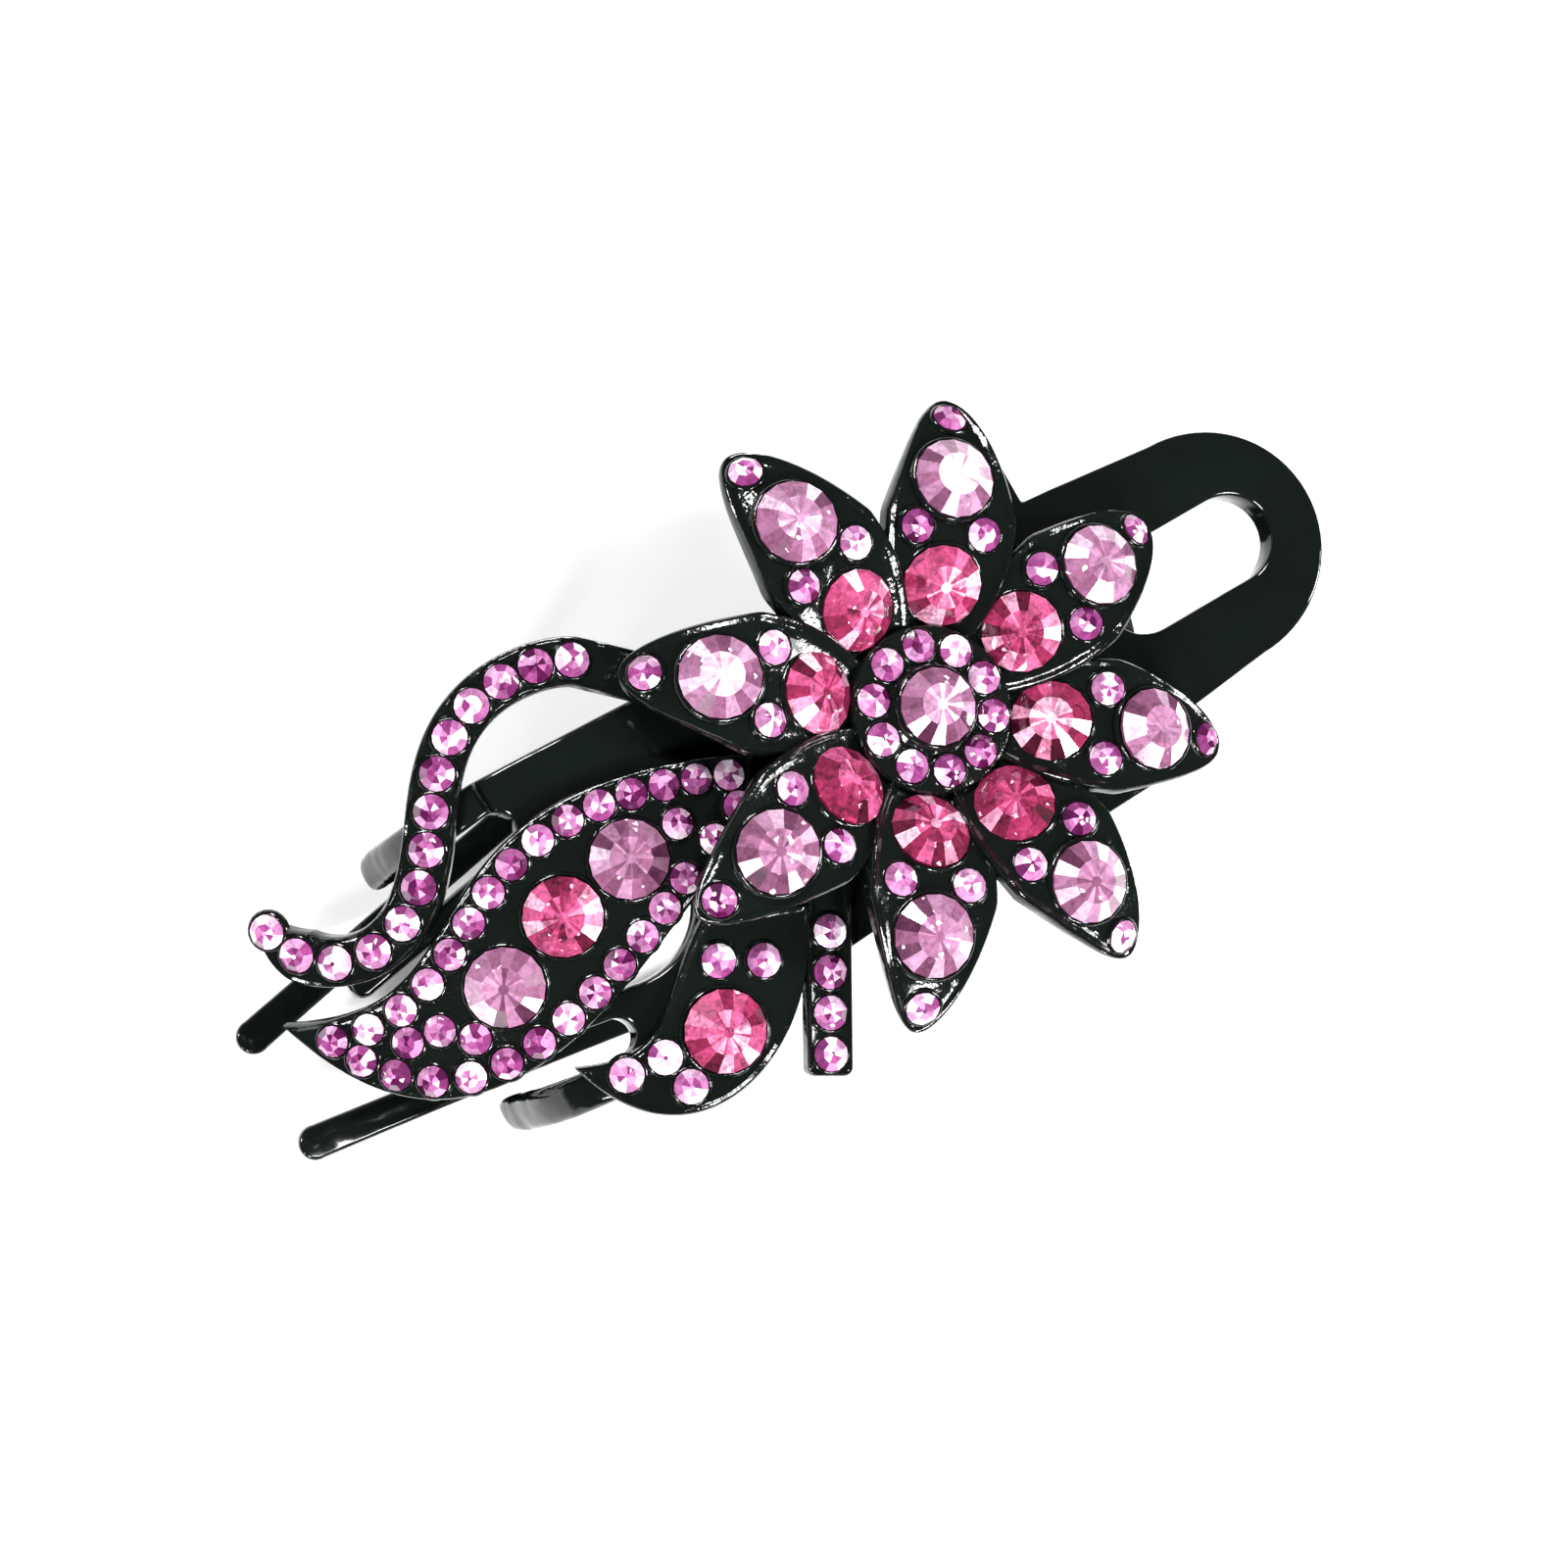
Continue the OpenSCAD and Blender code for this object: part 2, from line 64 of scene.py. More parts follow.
camera.data.clip_start = 0.01
bpy.context.scene.camera = camera

# ---- Table and lights ----
# The clip lies on a plain white table. Soft boxes stand round it, low enough that the flat black
# plastic doesn't mirror them, so that only edges and stones catch them.
table = bpy.data.objects.new("table_top", bpy.data.meshes.new("table_top"))
bpy.context.collection.objects.link(table)
bm = bmesh.new()
bmesh.ops.create_grid(bm, x_segments=4, y_segments=4, size=2)
bm.to_mesh(table.data)
bm.free()
paper = bpy.data.materials.new("white_table")
paper.use_nodes = True
nodes, links = paper.node_tree.nodes, paper.node_tree.links
shader = nodes["Principled BSDF"]
shader.inputs["Roughness"].default_value = 0.7
shader.inputs["Specular IOR Level"].default_value = 0.2
place = nodes.new("ShaderNodeTexCoord")
fibre = nodes.new("ShaderNodeTexNoise")
fibre.inputs["Scale"].default_value = 40
tint = nodes.new("ShaderNodeMixRGB")
tint.inputs["Color1"].default_value = (0.93, 0.93, 0.935, 1)
tint.inputs["Color2"].default_value = (0.95, 0.95, 0.95, 1)
links.new(place.outputs["Object"], fibre.inputs["Vector"])
links.new(fibre.outputs["Fac"], tint.inputs["Fac"])
links.new(tint.outputs["Color"], shader.inputs["Base Color"])
links.new(tint.outputs["Color"], shader.inputs["Emission Color"])
shader.inputs["Emission Strength"].default_value = 0.25
table.data.materials.append(paper)

world = bpy.data.worlds.new("studio")
world.use_nodes = True
world.node_tree.nodes["Background"].inputs["Color"].default_value = (1, 1, 1, 1)
world.node_tree.nodes["Background"].inputs["Strength"].default_value = 0.1
bpy.context.scene.world = world
bpy.context.scene.view_settings.view_transform = "Standard"


def soft_box(name, bearing, height, distance, width, length, watts):
    lamp = bpy.data.lights.new(name, "AREA")
    lamp.shape = "RECTANGLE"
    lamp.size, lamp.size_y, lamp.energy = width, length, watts
    holder = bpy.data.objects.new(name, lamp)
    bpy.context.collection.objects.link(holder)
    b, h = math.radians(bearing), math.radians(height)
    way = Vector((math.cos(b) * math.cos(h), math.sin(b) * math.cos(h), math.sin(h)))
    holder.matrix_world = (
        Matrix.Translation(way * distance) @ way.to_track_quat("Z", "Y").to_matrix().to_4x4()
    )


soft_box("box_left", 205, 34, 0.9, 0.12, 0.22, 5.5)
soft_box("box_back", 95, 42, 0.9, 0.2, 0.14, 7)
soft_box("box_right", -35, 38, 0.9, 0.16, 0.3, 7.5)
soft_box("box_front", -100, 44, 0.9, 0.2, 0.14, 6)

# ---- Petals ----
# Eight petals, part of one injection-moulded black flower. Each is a drooping lens-shaped plate
# with a raised bead round its edge. Each petal's one side lies over its neighbour's.
MM = 0.001
ARCH_FROM, SPRAY_R, SPRAY_TOP, PLATE = -25.0, 71.5, -3.0, 1.5
PETAL_RISE, PETAL_BEND, STRAIGHT_R, STRAIGHT_H = math.radians(23), 17.5, 14.0, 1.35
PETAL_TIP, PETAL_W, PETAL_ROOT = 31.7, 12.8, 3.0


def to_row(p):
    """From the flower's own millimetres to the row frame."""
    return Vector((p[0] + 11, p[1], p[2] + 33)) * MM


def skin_group():
    """The uneven skin of moulded plastic: ripples, finer wrinkles and a slight change of tone."""
    group = bpy.data.node_groups.new("moulded_skin", "ShaderNodeTree")
    for name, kind in (("Ripple", "NodeSocketFloat"), ("Wrinkle", "NodeSocketFloat")):
        group.interface.new_socket(name=name, in_out="INPUT", socket_type=kind)
    for name in ("Height", "Tone"):
        group.interface.new_socket(name=name, in_out="OUTPUT", socket_type="NodeSocketFloat")
    n, l = group.nodes, group.links
    get, put = n.new("NodeGroupInput"), n.new("NodeGroupOutput")
    spot = n.new("ShaderNodeTexCoord")
    ripple, wrinkle, cloud = (n.new("ShaderNodeTexNoise") for _ in range(3))
    for noise, scale, detail in ((ripple, 260, 1), (wrinkle, 1500, 2), (cloud, 90, 3)):
        noise.inputs["Scale"].default_value = scale
        noise.inputs["Detail"].default_value = detail
        l.new(spot.outputs["Object"], noise.inputs["Vector"])
    wide, fine, total = (n.new("ShaderNodeMath") for _ in range(3))
    wide.operation = fine.operation = "MULTIPLY"
    total.operation = "ADD"
    l.new(ripple.outputs["Fac"], wide.inputs[0])
    l.new(get.outputs["Ripple"], wide.inputs[1])
    l.new(wrinkle.outputs["Fac"], fine.inputs[0])
    l.new(get.outputs["Wrinkle"], fine.inputs[1])
    l.new(wide.outputs[0], total.inputs[0])
    l.new(fine.outputs[0], total.inputs[1])
    l.new(total.outputs[0], put.inputs["Height"])
    l.new(cloud.outputs["Fac"], put.inputs["Tone"])
    return group


SKIN = skin_group()


def black_plastic(name, ripple, wrinkle, depth, gloss):
    """Near-black gloss plastic. depth is how far its ripples stand, in metres."""
    made = bpy.data.materials.new(name)
    made.use_nodes = True
    n, l = made.node_tree.nodes, made.node_tree.links
    bsdf = n["Principled BSDF"]
    bsdf.inputs["Specular IOR Level"].default_value = 0.32
    bsdf.inputs["Coat Weight"].default_value = 0.2
    bsdf.inputs["Coat Roughness"].default_value = 0.06
    skin = n.new("ShaderNodeGroup")
    skin.node_tree = SKIN
    skin.inputs["Ripple"].default_value = ripple
    skin.inputs["Wrinkle"].default_value = wrinkle
    shade = n.new("ShaderNodeMixRGB")
    shade.inputs["Color1"].default_value = (0.002, 0.0032, 0.0026, 1)
    shade.inputs["Color2"].default_value = (0.005, 0.008, 0.0065, 1)
    rough = n.new("ShaderNodeMapRange")
    rough.inputs["To Min"].default_value = gloss
    rough.inputs["To Max"].default_value = gloss + 0.1
    bump = n.new("ShaderNodeBump")
    bump.inputs["Strength"].default_value = 1
    bump.inputs["Distance"].default_value = depth
    l.new(skin.outputs["Tone"], shade.inputs["Fac"])
    l.new(skin.outputs["Tone"], rough.inputs["Value"])
    l.new(skin.outputs["Height"], bump.inputs["Height"])
    l.new(shade.outputs["Color"], bsdf.inputs["Base Color"])
    l.new(rough.outputs["Result"], bsdf.inputs["Roughness"])
    l.new(bump.outputs["Normal"], bsdf.inputs["Normal"])
    return made


MOULDED = black_plastic("moulded_ornament_plastic", 1, 0.12, 0.0005, 0.06)

BEAD_AT = (0, 0.06, 0.16, 0.34, 0.55, 0.8, 1.1)
BEAD_UP = (-0.5, -0.16, 0.1, 0.26, 0.2, 0.02, -0.06)
STEPS = (0, 0.06, 0.16, 0.34, 0.55, 0.8, 1.1)


def finish_piece(bm, name, material, slot, body="upper", sharp=40):
    """Makes a piece of a bmesh given in metres in the row frame."""
    bmesh.ops.remove_doubles(bm, verts=bm.verts[:], dist=2e-6)
    bmesh.ops.dissolve_degenerate(bm, edges=bm.edges[:], dist=1e-7)
    bmesh.ops.recalc_face_normals(bm, faces=bm.faces[:])
    mesh = bpy.data.meshes.new(name)
    bm.to_mesh(mesh)
    bm.free()
    mesh.materials.append(material)
    mesh.shade_smooth()
    mesh.set_sharp_from_angle(angle=math.radians(sharp))
    piece = bpy.data.objects.new(name, mesh)
    bpy.context.collection.objects.link(piece)
    if body:
        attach(piece, body)
    return piece


def outline_gap(points, outline):
    """How far each point is from a closed outline."""
    a, b = outline, np.roll(outline, -1, axis=0)
    run = b - a
    size = np.maximum((run**2).sum(1), 1e-12)
    t = (((points[:, None] - a[None]) * run[None]).sum(2) / size[None]).clip(0, 1)
    near = a[None] + t[..., None] * run[None]
    return np.sqrt(((points[:, None] - near) ** 2).sum(2)).min(1)


def beaded_plate(edge_a, edge_b, lay, cols, inner, bead=1.0, width=1.0, thick=PLATE):
    """A plate between two edges with a raised bead round it. lay puts a flat point and a lift in
    the row frame. bead and width scale the bead's height and width."""
    rows = 2 * (len(STEPS) - 1) + inner
    bm = bmesh.new()
    bmesh.ops.create_grid(bm, x_segments=cols, y_segments=rows, size=1)
    for v in bm.verts:
        t = 0.5 - 0.5 * math.cos(math.pi * (v.co.x + 1) / 2)
        j = round((v.co.y + 1) / 2 * rows)
        a, b = Vector(edge_a(t)), Vector(edge_b(t))
        gap = (b - a).length
        shrink = width * min(1, gap / (2.2 * width * STEPS[-1] + 1e-9))
        back = rows - j
        if j < len(STEPS):
            part = STEPS[j] * shrink / max(gap, 1e-9)
        elif back < len(STEPS):
            part = 1 - STEPS[back] * shrink / max(gap, 1e-9)
        else:
            rim = STEPS[-1] * shrink / max(gap, 1e-9)
            part = rim + (1 - 2 * rim) * (j - len(STEPS) + 1) / inner
        p = a.lerp(b, part)
        v.co = (p.x, p.y, 0)
    ts = [0.5 - 0.5 * math.cos(math.pi * i / 120) for i in range(121)]
    outline = np.array([edge_a(t) for t in ts] + [edge_b(t) for t in reversed(ts)], float)
    flat = np.array([v.co[:2] for v in bm.verts])
    lift = np.interp(outline_gap(flat, outline) / width, BEAD_AT, BEAD_UP) * bead
    for v, up in zip(bm.verts, lift):
        v.co.z = up
    grown = bmesh.ops.extrude_face_region(bm, geom=bm.faces[:])
    for v in grown["geom"]:
        if isinstance(v, bmesh.types.BMVert):
            v.co.z = -thick
    for v in bm.verts:
        v.co = lay(v.co)
    return bm


def petal_height(r):
    bend_r = STRAIGHT_R + PETAL_BEND * math.sin(PETAL_RISE)
    bend_h = STRAIGHT_H - PETAL_BEND * math.cos(PETAL_RISE)
    if r < STRAIGHT_R:
        return STRAIGHT_H - (STRAIGHT_R - r) * math.tan(PETAL_RISE), PETAL_RISE
    return bend_h + math.sqrt(PETAL_BEND**2 - (r - bend_r) ** 2), math.asin(
        (bend_r - r) / PETAL_BEND
    )


def lens_half(x):
    """Half a petal's width at a distance from the flower's centre, with a blunt tip."""
    length = PETAL_TIP - PETAL_ROOT
    r = (length**2 + PETAL_W**2) / (4 * PETAL_W)
    lens = math.sqrt(max(r * r - (x - PETAL_ROOT - length / 2) ** 2, 0)) - (r - PETAL_W / 2)
    end = max(PETAL_TIP - 0.15 - x, 0)
    full = 0.25 + 0.8 * max(0, min(1, (x - 17) / 9))
    return max(min(lens + full, math.sqrt(end * 3.6)), 0)


def petal_edge(way):
    def edge(t):
        x = 4.5 + (PETAL_TIP - 0.15 - 4.5) * t
        return x, way * lens_half(x)

    return edge


def petal_lay(turn):
    spin = Matrix.Rotation(math.radians(turn), 3, "Z")

    def lay(p):
        r = max(math.hypot(p.x, p.y), 1e-6)
        h, slope = petal_height(r)
        out = Vector((p.x / r, p.y / r, 0))
        normal = Vector((0, 0, math.cos(slope))) - out * math.sin(slope)
        across = max(-1, min(1, p.y / max(lens_half(p.x), 1)))
        spot = Vector((p.x, p.y, h - 0.4 * across**3)) + normal * p.z
        return to_row(spin @ spot)

    return lay


petals = []
for k in range(8):
    bm = beaded_plate(petal_edge(-1), petal_edge(1), petal_lay(10.1 + 45 * k), 72, 12)
    petals.append(bm)

# ---- Stones ----
# Round foil-backed glass chatons, glued in pockets: 8 mm ones with a table and three rings of facets, and
# small ones with one ring. Each has its own mix of painted shade, painted highlights and white painted
# glints on its facets.


def fire_group():
    """Painted reflections of a foil back behind cut glass: wide and fine shards of light and dark, and
    sparks painted as glints.
    """
    group = bpy.data.node_groups.new("foil_fire", "ShaderNodeTree")
    for name in ("Shards", "Depth", "Sparks"):
        group.interface.new_socket(name=name, in_out="INPUT", socket_type="NodeSocketFloat")
    for name in ("Fire", "Spark"):
        group.interface.new_socket(name=name, in_out="OUTPUT", socket_type="NodeSocketFloat")
    n, l = group.nodes, group.links
    get, put = n.new("NodeGroupInput"), n.new("NodeGroupOutput")
    spot = n.new("ShaderNodeTexCoord")

    def sum_of(operation, a, b, c=0.0):
        node = n.new("ShaderNodeMath")
        node.operation = operation
        for socket, value in zip(node.inputs, (a, b, c)):
            if isinstance(value, float):
                socket.default_value = value
            else:
                l.new(value, socket)
        return node.outputs[0]

    tones = []
    for times in (1.0, 3.1):
        shard = n.new("ShaderNodeTexVoronoi")
        shard.distance = "CHEBYCHEV"
        split = n.new("ShaderNodeSeparateColor")
        l.new(spot.outputs["Object"], shard.inputs["Vector"])
        l.new(sum_of("MULTIPLY", get.outputs["Shards"], times), shard.inputs["Scale"])
        l.new(shard.outputs["Color"], split.inputs["Color"])
        tones += [split.outputs["Red"], split.outputs["Green"]]
    # Wide and fine shards mix into the painted reflections of the foil.
    mixed = sum_of("ADD", tones[0], tones[2])
    centred = sum_of("SUBTRACT", mixed, 1.0)
    l.new(sum_of("MULTIPLY_ADD", centred, get.outputs["Depth"], 1.0), put.inputs["Fire"])
    # A share of the fine shards is marked as painted glints.
    l.new(sum_of("LESS_THAN", tones[3], get.outputs["Sparks"]), put.inputs["Spark"])
    return group


FIRE = fire_group()


def stone_glass(name, shards, depth, sparks, spark):
    """Tinted glass over foil, with painted reflections and a faint painted glow. sparks is the share of
    fine shards painted as glints in the spark colour.
    """
    made = bpy.data.materials.new(name)
    made.use_nodes = True
    n, l = made.node_tree.nodes, made.node_tree.links
    bsdf = n["Principled BSDF"]
    bsdf.inputs["Roughness"].default_value = 0.08
    bsdf.inputs["IOR"].default_value = 1.6
    bsdf.inputs["Coat Weight"].default_value = 0.7
    bsdf.inputs["Coat Roughness"].default_value = 0.02
    facet = n.new("ShaderNodeVertexColor")
    facet.layer_name = "facet"
    fire = n.new("ShaderNodeGroup")
    fire.node_tree = FIRE
    fire.inputs["Shards"].default_value = shards
    fire.inputs["Depth"].default_value = depth
    fire.inputs["Sparks"].default_value = sparks
    lit = n.new("ShaderNodeVectorMath")
    lit.operation = "SCALE"
    # The painted glints take the spark colour.
    flash = n.new("ShaderNodeMixRGB")
    flash.inputs["Color2"].default_value = (*spark, 1)
    l.new(facet.outputs["Color"], lit.inputs[0])
    l.new(fire.outputs["Fire"], lit.inputs["Scale"])
    l.new(lit.outputs["Vector"], flash.inputs["Color1"])
    l.new(fire.outputs["Spark"], flash.inputs["Fac"])
    l.new(flash.outputs["Color"], bsdf.inputs["Base Color"])
    # The stones glow faintly in their own painted colour, as painted light.
    l.new(flash.outputs["Color"], bsdf.inputs["Emission Color"])
    bsdf.inputs["Emission Strength"].default_value = 0.12
    return made


GLASS = {
    "rose_stone": stone_glass("rose_foiled_glass", 900, 0.65, 0.008, (0.9, 0.5, 0.66)),
    "light_pink_stone": stone_glass("light_pink_foiled_glass", 800, 0.4, 0.012, (0.95, 0.82, 0.92)),
    "small_pink_stone": stone_glass("small_pink_foiled_glass", 900, 0.45, 0.01, (0.95, 0.8, 0.92)),
}
# The glass's colour for each stone kind, from painted shade on the darkest facets to painted highlights on
# the white flashes.
FACET_SHADE_TO_HIGHLIGHT = {
    "rose_stone": ((0.05, 0.003, 0.012), (0.25, 0.02, 0.07), (0.5, 0.09, 0.21), (0.88, 0.56, 0.7)),
    "light_pink_stone": ((0.08, 0.02, 0.05), (0.27, 0.1, 0.19), (0.44, 0.22, 0.36), (0.88, 0.72, 0.84)),
    "small_pink_stone": ((0.07, 0.004, 0.045), (0.28, 0.05, 0.2), (0.58, 0.26, 0.48), (1, 0.92, 0.97)),
}


def facet_cut(bm, turn, tilt, at):
    """Grinds one facet: everything beyond a plane that leans out at tilt goes."""
    a, b = math.radians(turn), math.radians(tilt)
    way = Vector((math.sin(b) * math.cos(a), math.sin(b) * math.sin(a), math.cos(b)))
    spot = Vector((at[0] * math.cos(a), at[0] * math.sin(a), at[1]))
    cut = bmesh.ops.bisect_plane(
        bm,
        geom=bm.verts[:] + bm.edges[:] + bm.faces[:],
        dist=1e-5,
        plane_co=spot,
        plane_no=way,
        clear_outer=True,
    )
    edges = [e for e in cut["geom_cut"] if isinstance(e, bmesh.types.BMEdge)]
    if len(edges) > 2:
        bmesh.ops.contextual_create(bm, geom=edges)


def cut_stone(r, large):
    """A chaton of radius r in millimetres, its girdle's lower edge at height 0."""
    pavilion, girdle, crown = (0.9, 0.35, 1.3) if large else (0.5, 0.2, 0.65)
    top = girdle + crown
    bm = bmesh.new()
    bmesh.ops.create_cone(
        bm, cap_ends=True, segments=16, radius1=0.72 * r, radius2=r, depth=pavilion
    )
    bmesh.ops.translate(bm, verts=bm.verts[:], vec=(0, 0, -pavilion / 2))
    rim = [f for f in bm.faces if f.normal.z > 0.9]
    grown = bmesh.ops.extrude_face_region(bm, geom=rim)
    bmesh.ops.delete(bm, geom=[f for f in rim if f.is_valid], context="FACES")
    raised = [v for v in grown["geom"] if isinstance(v, bmesh.types.BMVert)]
    bmesh.ops.translate(bm, verts=raised, vec=(0, 0, top))
    slope = math.degrees(math.atan2(crown, 0.46 * r))
    apothem = r * math.cos(math.pi / 16)
    spokes = 16 if large else 8
    for i in range(spokes):
        facet_cut(bm, 360 / spokes * (i + 0.5), slope, (apothem, girdle + 0.02))
    if large:
        for i in range(8):
            facet_cut(bm, 45 * i, slope * 0.6, (0.53 * r, top))
        for i in range(16):
            facet_cut(bm, 22.5 * i, slope * 1.35, (r, girdle))
    bm.faces.ensure_lookup_table()
    table_face = max(bm.faces, key=lambda f: f.calc_center_median().z)
    poked = bmesh.ops.poke(bm, faces=[table_face])
    bmesh.ops.bevel(
        bm,
        geom=poked["verts"],
        offset=0.13 * r,
        affect="VERTICES",
        segments=1,
        profile=0.5,
        material=-1,
    )
    return bm


def paint_facet_light_and_shade(bm, r, shade_to_highlight, luck, table_highlight):
    """Paints each facet's tone: spokes of painted light and shade, random tone, a side painted brighter as
    a highlight, a painted highlight at the table's centre and painted shade on steep facets.
    """
    layer = bm.loops.layers.float_color.new("facet")
    lit_side = luck.uniform(0, 2 * math.pi)
    base = luck.uniform(-0.12, 0.12)
    for f in bm.faces:
        c = f.calc_center_median()
        angle = math.atan2(c.y, c.x)
        # Alternate spokes are painted lighter and darker, as painted light and shade of the cut.
        spoke = int((angle + math.pi) / (math.pi / 8)) % 2
        out = math.hypot(c.x, c.y) / r
        spread = 0.18 if out < 0.5 and r > 2.5 else 0.45
        level = 0.45 + base + (0.1 if spoke else -0.1) + luck.uniform(-spread, spread)
        # Facets on one side of the stone are painted brighter as a painted highlight.
        if math.cos(angle - lit_side) > 0.55:
            level += 0.15
        # The table's centre is painted brighter, up to white, as a painted highlight.
        level += table_highlight * max(0, 1.3 - 2.6 * out)
        # Steep facets are painted dark as painted shade.
        if f.normal.z < 0.2:
            level = 0.12
        level = max(0, min(0.999, level)) * 3
        k = int(level)
        tone = Vector(shade_to_highlight[k]).lerp(Vector(shade_to_highlight[k + 1]), level - k)
        for loop in f.loops:
            loop[layer] = (*tone, 1)


def stone_places(node):
    """Centre, axis and radius, in the row frame, of each stone of a CAD node."""
    bm = bmesh.new()
    bm.from_mesh(frame["nodes"][node].data)
    bmesh.ops.remove_doubles(bm, verts=bm.verts[:], dist=1e-6)
    left, found = set(bm.verts), []
    while left:
        todo, isle = [left.pop()], []
        while todo:
            v = todo.pop()
            isle.append(v.co[:])
            for e in v.link_edges:
                o = e.other_vert(v)
                if o in left:
                    left.remove(o)
                    todo.append(o)
        co = np.array(isle)
        mid = co.mean(0)
        axis = np.linalg.svd(co - mid, full_matrices=False)[2][2]
        axis *= np.sign(axis[2])
        along = (co - mid) @ axis
        radius = np.linalg.norm(co - mid - np.outer(along, axis), axis=1).max()
        low = mid + axis * along.min()
        found.append((Vector(low), Vector(axis), float(radius)))
    bm.free()
    return sorted(found, key=lambda s: (round(s[0].x, 5), round(s[0].y, 5)))


def seat_ring(r):
    """The raised lip of the pocket that a stone of radius r stands in, in millimetres."""
    bm = bmesh.new()
    loop = [
        bm.verts.new((r + out, 0, up))
        for out, up in ((0.02, -0.5), (0.03, 0.06), (0.12, 0.2), (0.28, 0.14), (0.44, -0.14), (0.44, -0.5))
    ]
    edges = [bm.edges.new((loop[i], loop[(i + 1) % 6])) for i in range(6)]
    bmesh.ops.spin(
        bm,
        geom=loop + edges,
        cent=(0, 0, 0),
        axis=(0, 0, 1),
        angle=2 * math.pi,
        steps=32 if r > 3 else 20,
        use_merge=True,
    )
    return bm


def add_to(bm, part, matrix):
    """Adds a bmesh in millimetres to one in metres, placed by a matrix, and frees it."""
    bmesh.ops.transform(part, matrix=matrix @ Matrix.Scale(MM, 4), verts=part.verts[:])
    held = bpy.data.meshes.new("held")
    part.to_mesh(held)
    part.free()
    bm.from_mesh(held)
    bpy.data.meshes.remove(held)


SLOT_OF = {s["node"]: s["material_slot"] for s in frame["record"]["subparts"]}
seats = {}
# How strongly each stone's table is painted white at its centre as a painted highlight. The other stones
# get a small random amount.
TABLE_HIGHLIGHTS = {"petal_light_stone_2": 0.9, "petal_light_stone_4": 1.1, "petal_rose_stone_8": 0.9,
         "petal_rose_stone_2": 0.6, "flower_centre_stone": 0.4}


def set_stones(node, luck):
    slot = SLOT_OF[node]
    bm = bmesh.new()
    bm.loops.layers.float_color.new("facet")
    seats[node] = []
    for low, axis, radius in stone_places(node):
        r = radius / MM
        large = r > 2.5
        lean = Vector((luck.gauss(0, 1), luck.gauss(0, 1), 0)) * 0.02
        turn = (axis + lean).normalized().to_track_quat("Z", "Y").to_matrix().to_4x4()
        girdle = low + axis * (0.9 if large else 0.5) * MM
        place = Matrix.Translation(girdle) @ turn
        stone = cut_stone(r, large)
        bmesh.ops.rotate(
            stone,
            verts=stone.verts[:],
            cent=(0, 0, 0),
            matrix=Matrix.Rotation(luck.uniform(0, 2 * math.pi), 3, "Z"),
        )
        bmesh.ops.recalc_face_normals(stone, faces=stone.faces[:])
        paint_facet_light_and_shade(stone, r, FACET_SHADE_TO_HIGHLIGHT[slot], luck, TABLE_HIGHLIGHTS.get(node, luck.uniform(-0.1, 0.15)))
        add_to(bm, stone, place)
        seats[node].append((girdle, axis, r))
    piece = finish_piece(bm, "cut_" + node, GLASS[slot], slot, sharp=1)
    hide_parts(node)


luck = random.Random(11)
for node, slot in SLOT_OF.items():
    if slot in GLASS:
        set_stones(node, luck)


def add_seats(bm, *names):
    for name in names:
        for girdle, axis, r in seats[name]:
            turn = axis.to_track_quat("Z", "Y").to_matrix().to_4x4()
            add_to(bm, seat_ring(r), Matrix.Translation(girdle) @ turn)


for k, bm in enumerate(petals, 1):
    add_seats(bm, f"petal_rose_stone_{k}", f"petal_light_stone_{k}")
    turn = math.radians(10.1 + 45 * (k - 1))
    for name in ("petal_shoulder_stones", "petal_tip_stones"):
        for girdle, axis, r in seats[name]:
            x, y = girdle.x / MM - 11, girdle.y / MM
            if math.cos(math.atan2(y, x) - turn) > math.cos(math.radians(22.4)):
                way = axis.to_track_quat("Z", "Y").to_matrix().to_4x4()
                add_to(bm, seat_ring(r), Matrix.Translation(girdle) @ way)
    petal = finish_piece(bm, f"petal_{k}", MOULDED, "black_plastic")
    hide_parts("flower_base")

# ---- Flower's heart ----
# The middle of the same moulding: a boss that stands on the jaw, a disc with ten small pockets
# and a raised pad for the centre stone.
bm = bmesh.new()
line = [(0, -4.5), (7.5, -4.5), (7.5, -2.4), (8.2, -2.2), (8.4, -1.9), (8.4, -0.35), (8.2, -0.05),
        (7.95, 0), (4.6, 0), (4.25, 0.3), (4.25, 0.85), (4.1, 1), (0, 1)]
verts = [bm.verts.new((x, 0, z)) for x, z in line]
edges = [bm.edges.new(pair) for pair in zip(verts, verts[1:])]
bmesh.ops.spin(bm, geom=verts + edges, cent=(0, 0, 0), axis=(0, 0, 1), angle=2 * math.pi,
               steps=72, use_merge=True)
for v in bm.verts:
    v.co = to_row(v.co)
add_seats(bm, "flower_ring_stones", "flower_centre_stone")
heart = finish_piece(bm, "flower_heart", MOULDED, "black_plastic")
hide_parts("flower_base")

# ---- Leaf, bud, tendril and stem ----
# One arched layer of black mouldings lies on the jaw: a pointed leaf, a curled bud, an S-shaped
# tendril and a short stem, each with a beaded edge and its own rows of pockets.


def bezier(points, t):
    points = [Vector(p) for p in points]
    while len(points) > 1:
        points = [a.lerp(b, t) for a, b in zip(points, points[1:])]
    return points[0]


def spray_lay(p):
    """Bends the flat layer down along the jaw's arch."""
    if p.x > ARCH_FROM:
        return to_row((p.x, p.y, SPRAY_TOP + p.z))
    s = math.asin((ARCH_FROM - p.x) / SPRAY_R)
    z = SPRAY_TOP - SPRAY_R + SPRAY_R * math.cos(s)
    return to_row((p.x - p.z * math.sin(s), p.y, z + p.z * math.cos(s)))


def curve_edge(points):
    return lambda t: bezier(points, t)[:]


